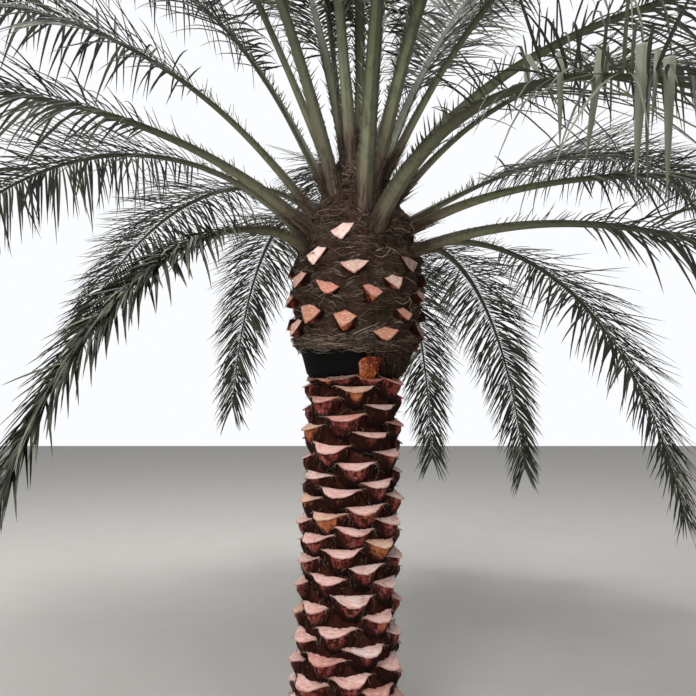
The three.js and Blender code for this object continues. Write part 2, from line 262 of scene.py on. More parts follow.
class Finish:
    def __init__(self, name, **uniform):
        self.material = bpy.data.materials.new(name)
        self.material.use_nodes = True
        self.tree = self.material.node_tree
        self.shader = self.tree.nodes["Principled BSDF"]
        for socket, value in uniform.items():
            self.shader.inputs[socket.replace("_", " ")].default_value = value

    def add(self, kind, settings=None, sockets=None, output=0):
        node = self.tree.nodes.new(kind)
        for name, value in (settings or {}).items():
            setattr(node, name, value)
        for name, value in (sockets or {}).items():
            if isinstance(value, Wire):
                self.tree.links.new(value.socket, node.inputs[name])
            else:
                node.inputs[name].default_value = value
        return Wire(self, node.outputs[output])

    def place(self, scale=(1, 1, 1)):
        coordinates = self.add("ShaderNodeTexCoord", output="Object")
        return self.add("ShaderNodeMapping", sockets={"Vector": coordinates, "Scale": scale})

    # The object's own x, y or z
    def distance(self, axis):
        return self.add("ShaderNodeSeparateXYZ", sockets={0: self.place()}, output=axis)

    def value(self, name):
        return self.add("ShaderNodeAttribute", {"attribute_name": name}, output="Fac")

    def noise(self, scale, stretch=(1, 1, 1), detail=3, roughness=0.55, place=None):
        sockets = {"Vector": place or self.place(stretch), "Scale": scale, "Detail": detail}
        return self.add("ShaderNodeTexNoise", sockets={**sockets, "Roughness": roughness})

    def step(self, value, low, high):
        settings = {"interpolation_type": "SMOOTHSTEP", "clamp": True}
        return self.add("ShaderNodeMapRange", settings, {"Value": value, "From Min": low, "From Max": high})

    def mix(self, factor, first, second):
        return self.add("ShaderNodeMix", {"data_type": "RGBA"}, {0: factor, 6: first, 7: second}, output=2)

    def ramp(self, value, *stops):
        colour = self.add("ShaderNodeValToRGB", sockets={0: value})
        elements = colour.socket.node.color_ramp.elements
        while len(elements) < len(stops):
            elements.new(0.5)
        for element, (position, tint) in zip(elements, stops):
            element.position = position
            element.color = tint
        return colour

    def bump(self, height, strength, distance):
        sockets = {"Height": height, "Strength": strength, "Distance": distance}
        return self.add("ShaderNodeBump", sockets=sockets)

    def finish(self, **wires):
        for socket, wire in wires.items():
            self.tree.links.new(wire.socket, self.shader.inputs[socket.replace("_", " ")])
        return self.material


# A colour as a screen shows it, from 0 to 255, in the linear values of the nodes
def rgb(*parts):
    linear = [((part / 255 + 0.055) / 1.055) ** 2.4 if part > 10 else part / 3294.6 for part in parts]
    return (*linear, 1)


def palette(**tints):
    return {name: rgb(*tint) for name, tint in tints.items()}


# The band's near-black and dark brown colours are painted shade under the collar's overhang
barkColours = palette(
    dark=(34, 11, 6), brown=(70, 38, 29), band=(11, 11, 11), bandBrown=(20, 13, 9),
    collarDark=(33, 23, 17), collarBrown=(72, 56, 46))


# Redder below the band, greyer in the collar, and painted shade in the band: near black, dark brown to the
# right
def barkFinish():
    bark = Finish("bark", Roughness=0.9, Specular_IOR_Level=0.06)
    streaks = bark.noise(24, (1, 1, 0.28), 5, 0.65)
    colour = bark.ramp(streaks, (0.34, barkColours["dark"]), (0.68, barkColours["brown"]))
    collar = bark.ramp(streaks, (0.34, barkColours["collarDark"]), (0.68, barkColours["collarBrown"]))
    height = bark.distance(2)
    above = bark.step(height, band["to"] - 0.01, band["to"] + 0.01)
    colour = bark.mix(above, colour, collar)
    # Where the band's painted shade goes; the band is also less rough
    inShadedBand = bark.step(height, band["from"] - 0.012, band["from"] + 0.008) * (1 - above)
    brown = bark.step(bark.distance(0) + (bark.noise(9, detail=2) - 0.5) * 0.2, 0.05, 0.13)
    colour = bark.mix(inShadedBand, colour, bark.mix(brown, barkColours["band"], barkColours["bandBrown"]))
    roughness = 0.92 - inShadedBand * (1 - brown) * 0.25
    return bark.finish(Base_Color=colour, Roughness=roughness, Normal=bark.bump(streaks, 0.7, 0.006))


# fibre is dark fibre colour that also paints shade at the bodies' sides, and foot is painted shade
baseColours = palette(
    orange=(198, 126, 78), amber=(160, 82, 54), red=(140, 64, 57), maroon=(62, 22, 15),
    flesh=(200, 128, 116), spot=(34, 9, 5), fibre=(40, 16, 9), foot=(20, 6, 3))


# Below the cut: mottled maroon and red, and on a few orange under the lip
# The sides take dark fibre colour with painted shade, and the foot painted shade, in the crevices between
# bodies
def leafBaseFinish():
    skin = Finish("leafBase", Roughness=0.72, Specular_IOR_Level=0.12)
    across = skin.value("across").size()
    down = skin.value("down")
    streaks = skin.noise(30, (1, 1, 0.35), 5, 0.7)
    patches = skin.noise(34, (1, 1, 0.8), 4, 0.65)
    warm = skin.mix(skin.step(patches, 0.42, 0.54), baseColours["maroon"], baseColours["red"])
    warm = skin.mix(skin.step(patches * 0.6 + streaks * 0.5, 0.57, 0.67), warm, baseColours["flesh"])
    warm = skin.mix(skin.step(skin.noise(90, detail=2), 0.55, 0.62) * 0.85, warm, baseColours["spot"])
    bright = skin.step(skin.value("seed") + patches * 0.5 - down * 0.3 - across * 0.22, 0.97, 1.09)
    amber = skin.mix(skin.step(streaks, 0.4, 0.62), baseColours["orange"], baseColours["amber"])
    warm = skin.mix(bright * 0.9, warm, amber)
    uneven = streaks * 0.8 + patches - skin.value("tone") * 0.45
    # Dark fibre colour at the sides and lower down, also painted shade in the crevices between bodies
    dark = skin.step(across * 0.6 + down * 0.5 + uneven, 0.94, 1.16)
    colour = skin.mix(dark, warm, baseColours["fibre"])
    # Painted shade at the foot, in the crevice above the cut below
    colour = skin.mix(skin.step(down + streaks * 0.3, 0.5, 0.85), colour, baseColours["foot"])
    bump = skin.bump(streaks + patches * 0.5, 1.0, 0.012)
    return skin.finish(Base_Color=colour, Roughness=0.46 + dark * 0.44, Normal=bump)


# The dull grey-brown face colour is painted shade, on faces of the collar's right side and of the band row
faceColours = palette(
    pink=(234, 190, 181), pale=(236, 208, 199), salmon=(216, 158, 143), yellow=(232, 194, 166),
    orange=(188, 130, 102), dull=(112, 100, 91), clay=(200, 168, 153), ember=(190, 124, 104))
faceMarks = palette(grain=(164, 100, 84), edge=(122, 66, 54), blush=(204, 134, 112), light=(252, 228, 218))
mixedFaces = ["pink", "pale", "pink", "salmon", "pink", "pale", "pink", "yellow"]


# A freshly sawn face: vessel ends as fine dots, faint streaks, and a browner rim
def cutFinish(name, tint):
    cut = Finish(name, Roughness=0.78, Specular_IOR_Level=0.25)
    dots = cut.add("ShaderNodeTexVoronoi", sockets={"Vector": cut.place(), "Scale": 420, "Randomness": 1})
    across, down = cut.value("across"), cut.value("down")
    place = cut.add("ShaderNodeCombineXYZ", sockets={0: across * 2.2, 1: down * 7, 2: cut.value("seed") * 40})
    streaks = cut.noise(1.5, detail=4, roughness=0.65, place=place)
    blush = cut.step(cut.noise(22, detail=3), 0.42, 0.68)
    colour = cut.mix(blush * 0.55, tint, faceMarks["blush"])
    colour = cut.mix(cut.step(streaks, 0.5, 0.72) * 0.65, colour, faceMarks["grain"])
    colour = cut.mix(cut.step(1 - streaks, 0.52, 0.66) * 0.7, colour, faceMarks["light"])
    colour = cut.mix((1 - cut.step(dots, 0.1, 0.42)) * 0.2, colour, faceMarks["grain"])
    colour = cut.mix(cut.step(cut.value("rim"), 0.78, 1) * 0.45, colour, faceMarks["edge"])
    return cut.finish(Base_Color=colour, Normal=cut.bump(streaks * 0.7 + dots * 0.3, 0.5, 0.002))


fibreColours = palette(
    dark=(32, 23, 16), brown=(98, 81, 69), grey=(138, 122, 109), straw=(178, 160, 142), sheath=(90, 66, 56),
    maroonDark=(34, 11, 6), maroon=(88, 50, 42), torn=(222, 136, 84), tornBrown=(138, 70, 44),
    tornRed=(148, 54, 46), tornPale=(212, 168, 138), tornRose=(176, 108, 82))
# Each fibre's darker and lighter colour
fibreKinds = {
    "dark": ("dark", "brown"), "brown": ("dark", "grey"), "grey": ("brown", "grey"),
    "straw": ("grey", "straw"), "red": ("maroon", "tornRed"), "torn": ("tornBrown", "torn"),
    "pale": ("tornRose", "tornPale"), "sheath": ("dark", "sheath"), "maroon": ("maroonDark", "maroon"),
}


def fibreFinish(name, dark, light):
    fibre = Finish(name, Roughness=0.95, Specular_IOR_Level=0.06)
    grain = fibre.noise(60, (1, 1, 1), 4, 0.7)
    colour = fibre.ramp(grain, (0.3, dark), (0.72, light))
    return fibre.finish(Base_Color=colour, Normal=fibre.bump(grain, 0.4, 0.001))


fibres = {
    name: fibreFinish(f"fibre{name.capitalize()}", fibreColours[dark], fibreColours[light])
    for name, (dark, light) in fibreKinds.items()
}


def fibresNamed(names):
    return [fibres[name] for name in names]


# shade serves a darker tone on some fronds and the painted shade of one flank of the keel; side is painted
# shade on the edges
petioleColours = palette(
    foot=(70, 48, 38), brown=(138, 112, 98), olive=(140, 131, 108), green=(148, 151, 118),
    middle=(104, 108, 82), rachis=(66, 70, 53), streak=(62, 58, 45), side=(48, 46, 34), shade=(72, 70, 56))
petioleStops = {"foot": 0.0, "brown": 0.022, "olive": 0.055, "green": 0.1, "middle": 0.22, "rachis": 0.4}


# Leaf stalk and rib: brown at the foot, then olive, then grey-green, and darker on some fronds
# Painted shade falls on one flank of the keel and along the stalk's edges
def petioleFinish():
    stalk = Finish("petiole", Roughness=0.55, Specular_IOR_Level=0.3)
    streaks = stalk.noise(40, (1, 1, 0.3), 4, 0.6)
    place = stalk.value("share") + (stalk.noise(9, detail=3) - 0.5) * 0.05
    colour = stalk.ramp(place, *[(share, petioleColours[name]) for name, share in petioleStops.items()])
    across = stalk.value("across")
    colour = stalk.mix(stalk.value("tone") * 0.5, colour, petioleColours["shade"])
    # Painted shade on one flank of the keel
    colour = stalk.mix(stalk.step(across, -0.06, 0.06) * 0.4, colour, petioleColours["shade"])
    colour = stalk.mix(stalk.step(streaks, 0.45, 0.75) * 0.6, colour, petioleColours["streak"])
    # Painted shade along the stalk's edges
    colour = stalk.mix(stalk.step(across.size(), 0.5, 0.95) * 0.7, colour, petioleColours["side"])
    bump = stalk.bump(streaks, 0.35, 0.002)
    return stalk.finish(Base_Color=colour, Roughness=0.5 + streaks * 0.22, Normal=bump)


leafletColours = [rgb(58, 62, 46), rgb(78, 82, 63), rgb(44, 48, 36), rgb(110, 113, 93), rgb(62, 65, 53)]


def leafletFinish(number, tint):
    leaf = Finish(f"leaflet_{number}", Roughness=0.5)
    patches = leaf.noise(3.5, detail=2)
    deeper = tuple(part * 0.72 for part in tint[:3]) + (1,)
    return leaf.finish(Base_Color=leaf.mix(patches, deeper, tint), Roughness=0.42 + patches * 0.2)


# Trunk core: rings drawn up from a circle, leaning, then given its relief
core = {
    "around": 96, "rings": 112, "grain": (26, 26, 7), "relief": 0.008, "inset": 0.012, "bandRelief": 0.0025,
    "collarFrom": 1.73, "lumps": 10, "lumpDepth": 0.02, "folds": (11, 11, 42), "foldDepth": 0.02,
}


# How far the core's surface stands out at a point: grain below, a smooth band, lumps and folds above
def relief(point):
    if point[2] > core["collarFrom"]:
        folds = Vector([part * scale for part, scale in zip(point, core["folds"])])
        lumps = noise.noise(Vector(point) * core["lumps"]) * core["lumpDepth"]
        return lumps + noise.noise(folds) * core["foldDepth"]
    grain = noise.fractal(Vector([part * scale for part, scale in zip(point, core["grain"])]), 0.8, 2.2, 4)
    if point[2] > band["from"]:
        return core["bandRelief"] * grain
    return core["relief"] * grain - core["inset"]


def makeTrunkCore(finish):
    deselectAll()
    start = float(along(trunk["profile"], 0))
    bpy.ops.mesh.primitive_circle_add(
        vertices=core["around"], radius=start, fill_type="NGON", location=(0, 0, 0))
    made = bpy.context.object
    made.name = made.data.name = "trunkBark"
    heights = np.linspace(0, trunk["profile"][-1][0], core["rings"])
    bpy.ops.object.mode_set(mode="EDIT")
    bpy.ops.mesh.select_all(action="SELECT")
    for low, high in zip(heights[:-1], heights[1:]):
        rise = high - low
        bpy.ops.mesh.extrude_region_move(TRANSFORM_OT_translate={"value": (trunk["lean"] * rise, 0, rise)})
        scale = float(along(trunk["profile"], high) / along(trunk["profile"], low))
        centre = (trunk["lean"] * high, 0, high)
        bpy.ops.transform.resize(value=(scale, scale, 1), center_override=centre)
    bpy.ops.mesh.select_all(action="SELECT")
    bpy.ops.mesh.normals_make_consistent(inside=False)
    bpy.ops.object.mode_set(mode="OBJECT")
    finer = made.modifiers.new("finer", "SUBSURF")
    finer.subdivision_type = "SIMPLE"
    finer.levels = finer.render_levels = 1
    bpy.ops.object.modifier_apply(modifier="finer")
    for vertex in made.data.vertices:
        place = vertex.co
        if place.z < 0.001 or place.z > trunk["profile"][-1][0] - 0.01:
            continue
        away = Vector((place.x - trunk["lean"] * place.z, place.y, 0)).normalized()
        vertex.co = place + away * relief(place)
    bpy.ops.object.shade_smooth()
    made.data.materials.append(finish)
    print(f"trunkBark: {len(made.data.polygons) * 2} triangles")
    return made


# Leaf bases as grids: u runs from -1 to 1 across, v over the cut from its inner edge out, w down the body
base = {
    "across": 25, "overFace": 6, "belowFace": 10, "sink": 0.022, "slab": 0.003, "ledgeEnds": 0.16,
    "cutEnds": 0.99, "ragged": 0.12, "groove": 0.006, "shell": 0.035, "ribGap": 0.062, "nearSteps": 24,
    "ragWaves": (9, 17, 29), "grooveWaves": (13, 23, 41), "thinPower": 0.6, "groovesGrow": 6,
    "ledgeShare": 0.4,
}


def baseAt(sizes, azimuth, height, k):
    radius = float(along(trunk["profile"], height))
    width = sizes["width"] * (1 + baseVariation["width"] * vary(k + 0.25))
    lowness = min(max((lowFaces["from"] - height) / lowFaces["from"], 0), 1)
    return {
        **sizes, "k": k, "azimuth": azimuth, "height": height, "radius": radius,
        "width": width, "turn": width / 2 / radius,
        "seed": 0.5 + 0.5 * vary(k + 0.15), "tone": 0.5 + 0.5 * vary(k + 0.95),
        "out": sizes["out"] * (1 + baseVariation["out"] * vary(k + 0.75)),
        "start": sizes["start"] - lowFaces["deeper"] * lowness,
        "skew": sizes["skew"] * vary(k + 0.35), "roll": sizes["roll"] * vary(k + 0.6),
        "slope": sizes["slope"] * (1 + baseVariation["slope"] * vary(k + 0.45)),
        "curl": baseVariation["curl"] * (0.6 + vary(k + 0.85)),
        "footDrop": min(sizes["footDrop"], height - 0.002),
    }


def spiralBases(sizes):
    wave = sizes["wave"]
    places = []
    for k in range(sizes["first"], sizes["last"] + 1):
        swell = wave["height"] * math.sin(2 * math.pi * (wave["middle"] - k) / wave["span"]) if wave else 0
        azimuth = sizes["azimuth"] + sizes["turn"] * k + baseVariation["azimuth"] * vary(k)
        height = sizes["height"] + sizes["pitch"] * k + swell + baseVariation["height"] * vary(k + 0.5)
        places.append(baseAt(sizes, azimuth, height, k))
    return places


# A collar base as it shows in the photo, where it does
def shaped(place):
    if place["k"] not in collarShapes:
        # On the shaded right side, painted shade: the dull face colour and a dark body
        aside = abs((place["azimuth"] - shadedSide["azimuth"] + 180) % 360 - 180)
        if aside < shadedSide["within"]:
            return {**place, "kind": "dull", "seed": shadedSide["warmth"], "tone": shadedSide["warmth"]}
        return {**place, "kind": "clay" if place["k"] > 3 else "orange"}
    kind, warmth, width, slope, roll, skew, rise, turned = (*collarShapes[place["k"]], 0, 0, 0)[:8]
    place = {
        **place, "kind": kind, "seed": warmth, "tone": warmth, "width": width, "slope": slope, "roll": roll,
        "skew": skew, "turn": width / 2 / place["radius"], "height": place["height"] + rise,
        "azimuth": place["azimuth"] + turned,
    }
    if warmth > warmBodies["from"]:
        place["fall"], place["footDrop"] = warmBodies["fall"], warmBodies["footDrop"]
    return place


# Whether a leaf base stands free of the petioles above it
def clearOfRibs(place):
    centre = trunkPoint(place["radius"] + place["out"] / 2, place["azimuth"], place["height"] - 0.03)
    gaps = [np.linalg.norm(path["place"][:base["nearSteps"]] - centre, axis=1).min() for path in paths]
    return min(gaps) > base["ribGap"]


# Gentle waves over u that differ from base to base
def wobble(place, u, waves):
    return sum(np.sin(u * wave + place["seed"] * (40 + wave)) for wave in waves) / len(waves)


def innerReach(place, u):
    return place["start"] + (place["wing"] - place["start"]) * np.abs(u) ** place["innerPower"]


def outerReach(place, u):
    power, sharpness = place["belly"]
    skewed = np.clip(u - place["skew"] * (1 - u * u), -1, 1) / place["bellyWidth"]
    bulge = np.maximum(1 - np.abs(skewed) ** power, 0) ** sharpness * (1 - place["thinWing"])
    bulge = bulge + place["thinWing"] * (1 - np.abs(u)) ** base["thinPower"]
    ragged = 1 + base["ragged"] * wobble(place, u, base["ragWaves"])
    return place["wing"] + (place["out"] - place["wing"]) * bulge * ragged


# Height of the flat cut at a place across it and a reach beyond the trunk's surface
def cutHeight(place, u, reach):
    outward = (place["radius"] + reach) * np.cos(u * place["turn"]) - place["radius"] - place["start"]
    tilt = place["roll"] * u * place["width"] / 2 + place["curl"] * np.abs(u) ** 3
    return place["height"] - place["slope"] * outward + tilt


def facePoints(place, u, v, lower=0.0):
    reach = innerReach(place, u) * (1 - v) + outerReach(place, u) * v
    height = np.maximum(cutHeight(place, u, reach) - lower, 0.001)
    return trunkPoint(place["radius"] + reach, place["azimuth"] + np.degrees(u * place["turn"]), height)


# The body under the cut; inset moves its whole surface inwards
def bodyPoints(place, u, w, inset=0.0):
    lip = outerReach(place, u)
    height = cutHeight(place, u, lip) * (1 - w) + (place["height"] - place["footDrop"]) * w
    height = np.maximum(height, 0)
    radius = place["radius"] * (1 - w) + along(trunk["profile"], height) * w
    grooves = base["groove"] * wobble(place, u + 0.1 * w, base["grooveWaves"])
    grooves = grooves * np.minimum(1, w * base["groovesGrow"]) * (1 - u * u)
    ledge = np.minimum(place["ledge"] * np.exp(-(w / base["ledgeEnds"]) ** 2), lip * base["ledgeShare"])
    reach = lip * (1 - w) ** place["fall"] - base["sink"] * w - ledge + grooves
    azimuth = place["azimuth"] + np.degrees(u * place["turn"]) * (1 - (1 - place["footWidth"]) * w)
    return trunkPoint(radius + reach - inset, azimuth, height)


# A grid of points over u and a second share from 0 to 1
def baseGrid(ends, rows):
    return np.meshgrid(np.linspace(-ends, ends, base["across"]), np.linspace(0, 1, rows))


# A slab between two grids of the same size, closed round its border
def slab(outer, inner):
    rows, columns = outer.shape[:2]
    index = np.arange(rows * columns).reshape(rows, columns)
    border = np.concatenate([index[0, :-1], index[:-1, -1], index[-1, :0:-1], index[:0:-1, 0]])
    following = np.roll(border, -1)
    below = rows * columns
    sides = np.stack([border, following, following + below, border + below], axis=-1)
    corners = [index[:-1, :-1], index[1:, :-1], index[1:, 1:], index[:-1, 1:]]
    outside = np.stack(corners, axis=-1).reshape(-1, 4)
    polygons = np.concatenate([outside, outside[:, ::-1] + below, sides])
    points = np.concatenate([outer.reshape(-1, 3), inner.reshape(-1, 3)])
    return points, [(polygons, np.zeros(len(polygons), int))]


def finishOf(place):
    mixed = mixedFaces[min(int(place["seed"] * len(mixedFaces)), len(mixedFaces) - 1)]
    return place.get("kind", mixed)


def makeLeafBases(places, bodyFinish, cutFinishes):
    bodies, cuts = Gathering(), Gathering()
    u, v = baseGrid(base["cutEnds"], base["overFace"])
    uBody, w = baseGrid(1, base["belowFace"])
    onCut = {
        "across": np.tile(u.ravel(), 2), "down": np.tile(v.ravel(), 2),
        "rim": np.tile(np.maximum(np.abs(u), np.abs(v * 2 - 1)).ravel(), 2),
    }
    onBody = {"across": np.tile(uBody.ravel(), 2), "down": np.tile(w.ravel(), 2)}
    kinds = list(cutFinishes)
    for place in places:
        points, groups = slab(facePoints(place, u, v), facePoints(place, u, v, base["slab"]))
        cuts.add(points, groups, kinds.index(finishOf(place)), seed=place["seed"], **onCut)
        points, groups = slab(bodyPoints(place, uBody, w), bodyPoints(place, uBody, w, base["shell"]))
        bodies.add(points, groups, 0, seed=place["seed"], tone=place["tone"], **onBody)
    return bodies.piece("leafBases", [bodyFinish], True), cuts.piece("cutFaces", list(cutFinishes.values()))


# The fronds' plans and paths, by the same rule as the solids

def frondPlan(index):
    age = index / (crown["places"] - 1)
    fadesFrom, fadesTo = crown["archFades"]
    archShare = min(max((fadesTo - age) / (fadesTo - fadesFrom), 0), 1)
    lengthFall = max(0, (age - crown["matureUntil"]) / (1 - crown["matureUntil"]))
    lean = between(crown["leans"], (1 - age) ** crown["leanPower"])
    arches = (crown["youngestArch"], min(crown["fullArch"], crown["tipAngle"] - lean))
    rule = [
        crown["azimuth"] + crown["divergence"] * index, lean, between(arches, archShare),
        between(crown["powers"], age), between(crown["lengths"], lengthFall),
    ]
    known = sweeps.get(index, ())
    rule[:len(known)] = known
    plan = dict(zip(("heading", "lean", "arch", "power", "length"), rule))
    plan["index"] = index
    plan["height"] = between(crown["heights"], age ** crown["heightPower"])
    plan["baseWidth"] = between(rib["baseWidths"], age ** 2)
    plan["twist"] = rib["twist"] * vary(index + 0.4)
    return plan


# The rib's path at even shares: place, forward, sideways and upper side
def frondPath(plan):
    steps = rib["steps"]
    outward, level = levelDirections(plan["heading"])

    def forwardAt(share):
        bend = np.radians(plan["lean"] + plan["arch"] * share ** plan["power"])[:, None]
        return np.sin(bend) * outward + np.cos(bend) * up

    moves = forwardAt((np.arange(steps) + 0.5) / steps)
    azimuth = footAzimuths.get(plan["index"], plan["heading"])
    foot = trunkPoint(crown["foot"] * along(trunk["profile"], plan["height"]), azimuth, plan["height"])
    places = np.concatenate([[foot], foot + np.cumsum(moves, axis=0) * plan["length"] / steps])
    share = np.linspace(0, 1, steps + 1)
    forward = forwardAt(share)
    turn = np.radians(plan["twist"] * share)[:, None]
    sideways = level * np.cos(turn) + np.cross(forward, level) * np.sin(turn)
    upper = np.cross(forward, sideways)
    return {"share": share, "place": places, "forward": forward, "sideways": sideways, "upper": upper}


# The path's place, forward, sideways and upper side at given shares
def ribAt(path, shares):
    tables = [path[name] for name in ("place", "forward", "sideways", "upper")]
    return [
        np.stack([np.interp(shares, path["share"], table[:, axis]) for axis in range(3)], axis=-1)
        for table in tables]


# Rib section, as shares of width and depth: a flat, faintly grooved upper side and a sharp keel
ribSection = {
    "outline": [
        (0.5, 0.3), (0.47, 0.08), (0.34, -0.26), (0.03, -0.65), (-0.03, -0.65), (-0.34, -0.26),
        (-0.47, 0.08), (-0.5, 0.3), (-0.3, 0.35), (0, 0.27), (0.3, 0.35),
    ],
    "stations": 72, "bunch": 1.5, "flare": 0.12, "flareEnds": 0.03, "sharpOver": 24,
}


def makeRibs(plans, paths, finish):
    ribs = Gathering()
    shares = np.linspace(0, 1, ribSection["stations"]) ** ribSection["bunch"]
    outline = np.array(ribSection["outline"])
    baseStart, baseEnd = rib["baseEnds"]
    for plan, path in zip(plans, paths):
        slimmer = 1 - (1 - plan["baseWidth"]) * np.clip((baseEnd - shares) / (baseEnd - baseStart), 0, 1)
        flare = 1 + ribSection["flare"] * np.clip(1 - shares / ribSection["flareEnds"], 0, 1)
        width = along(rib["width"], shares) * slimmer * flare
        depth = along(rib["depth"], shares) * slimmer
        place, _, sideways, upper = ribAt(path, shares)
        aside = sideways[:, None] * (outline[None, :, 0] * width[:, None])[..., None]
        raised = upper[:, None] * (outline[None, :, 1] * depth[:, None])[..., None]
        rings = (place[:, None] + aside + raised)[:, ::-1]
        across = np.tile(outline[::-1, 0] * 2, len(shares))
        tone = 0.5 + 0.5 * vary(plan["index"] + 0.7)
        ribs.addTubes(rings[None], share=np.repeat(shares, len(outline)), across=across, tone=tone)
    made = ribs.piece("frondRibs", [finish], True)
    deselectAll()
    made.select_set(True)
    bpy.context.view_layer.objects.active = made
    bpy.ops.object.shade_smooth_by_angle(angle=math.radians(ribSection["sharpOver"]))
    return made


# Leaflets: finer ones by the solids' rule, folded in a V along the middle. Bend is how much of the tip's
# heading is straight down, raised the turns out of the rib's plane in degrees, and root how far aside and
# above the rib's middle they start. Sprays are neighbours of one tint
leaflet = {
    "aSide": 205, "jitter": 0.35, "longest": 0.48, "firstShare": 0.3, "growth": 5, "tipFall": 0.42,
    "lengths": (0.86, 1.04), "width": 0.016, "firstWidth": 0.6, "widthGrowth": 1.6, "widthFall": 0.3,
    "widthsVary": (0.85, 1.12), "spread": (60, 32), "raised": (36, 2, 20, -14, 28, 8), "uneven": 6,
    "droop": 0.13, "outwardAtLeast": 0.35, "root": (0.4, 0.2), "facesBack": 0.35, "facesVary": 0.2,
    "fold": 0.45, "thickness": 0.001, "bend": (0.08, 0.58), "bendPower": 0.7, "lift": 0.04,
    "spray": 7, "oddTints": 0.3,
    "stations": [0, 0.1, 0.28, 0.5, 0.72, 0.88], "widths": [0.45, 0.85, 1, 0.9, 0.6, 0.32],
}
# On the fronds close to the front: the share of leaflets that hangs, and how strongly; then the share of them
# left out and how narrow the others are
hanging = {7: 0.04, 15: 0.25, 20: 0.2, 12: 0.15}
hangingBend = (0.85, 1)
thinned = {7: (0.55, 0.55), 15: (0.3, 0.75)}
# Leaflets folded over a rib: share along it, how far the fold rises above it, the length that hangs, the
# width, and the drift sideways. Rises, falls and forwards shape each from its foot; all face one azimuth
folded = {
    7: [
        (0.36, 0.08, 0.18, 0.018, 0.5), (0.407, 0.065, 0.26, 0.02, -0.03),
        (0.455, 0.062, 0.28, 0.024, -0.16), (0.495, 0.068, 0.3, 0.029, -0.08),
        (0.508, 0.055, 0.18, 0.013, -0.1), (0.518, 0.045, 0.29, 0.023, -0.05),
    ],
}
ribbon = {
    "facing": -112, "rises": [0.1, 0.75, 1, 1, 1, 1, 1], "falls": [0, 0, 0, 0.04, 0.3, 0.66, 1],
    "forwards": [0.0, 0.0, 0.012, 0.028, 0.036, 0.034, 0.03], "widths": [0.8, 1, 1, 1, 0.8, 0.5],
    "fold": 0.08, "colour": 3,
}


# The four-cornered rings of leaflets along their joints; half is half the width at each
def leafRings(joints, heading, across, half, fold):
    normal = np.cross(across, heading)
    lift = normal * half * fold
    thick = leaflet["thickness"]
    middles = joints[:, :-1]
    rings = np.stack([middles + across * half + lift, middles - normal * thick,
                      middles - across * half + lift, middles + normal * thick], axis=2)
    return rings, joints[:, -1]


# The heading at each joint but the last, from the steps between them
def headingsOf(steps):
    return np.concatenate([steps[:, :1], unit(steps[:, 1:] + steps[:, :-1])], axis=1)


def foldedSections(path, entries):
    shares, rises, hangs, widths, drifts = (np.array(column)[:, None] for column in zip(*entries))
    towards, aside = levelDirections(ribbon["facing"])
    falls = np.array(ribbon["falls"])
    raised = rises * np.array(ribbon["rises"]) - hangs * falls
    place = ribAt(path, shares[:, 0])[0]
    joints = place[:, None] + up * raised[..., None] + towards * np.array(ribbon["forwards"])[:, None]
    joints = joints + aside * (drifts * hangs * falls)[..., None]
    half = (widths * np.array(ribbon["widths"]) / 2)[..., None]
    return leafRings(joints, headingsOf(unit(np.diff(joints, axis=1))), aside, half, ribbon["fold"])


def leafletSections(starts, directions, uppers, lengths, widths, bends):
    t = np.array(leaflet["stations"] + [1])
    middle = (t[1:] + t[:-1]) / 2
    turned = bends[:, None, None] * middle[None, :, None] ** leaflet["bendPower"]
    steps = unit(directions[:, None] * (1 - turned) - up * turned + uppers[:, None] * leaflet["lift"])
    moves = steps * (t[1:] - t[:-1])[None, :, None] * lengths[:, None, None]
    joints = np.concatenate([starts[:, None], starts[:, None] + np.cumsum(moves, axis=1)], axis=1)
    heading = headingsOf(steps)
    flat = unit(np.cross(directions, uppers))[:, None]
    across = unit(flat - heading * (flat * heading).sum(axis=-1, keepdims=True))
    half = (widths[:, None] * np.array(leaflet["widths"])[None] / 2)[..., None]
    return leafRings(joints, heading, across, half, leaflet["fold"])


# Where each leaflet of one side leaves the rib, its direction, and the way its upper face looks
def leafletStarts(path, shares, v, side, draws):
    count = len(shares)
    place, forward, sideways, upper = ribAt(path, shares)
    sideways = sideways * side
    spread = between(leaflet["spread"], v) + draws.normal(0, leaflet["uneven"], count)
    spread = np.radians(spread)[:, None]
    ranks = (np.arange(count) + 3 * (side > 0)) % len(leaflet["raised"])
    raised = np.array(leaflet["raised"])[ranks] + draws.normal(0, leaflet["uneven"], count)
    raised = np.radians(raised)[:, None]
    direction = forward * np.cos(spread) + sideways * np.sin(spread) * np.cos(raised)
    direction = direction + upper * np.sin(spread) * np.sin(raised) - up * leaflet["droop"]
    short = np.maximum(leaflet["outwardAtLeast"] - (direction * sideways).sum(axis=1), 0)[:, None]
    aside, above = leaflet["root"]
    starts = place + sideways * along(rib["width"], shares)[:, None] * aside
    starts = starts + upper * along(rib["depth"], shares)[:, None] * above
    facing = upper - forward * leaflet["facesBack"] + draws.normal(0, leaflet["facesVary"], (count, 3))
    return starts, unit(direction + sideways * short), unit(facing)


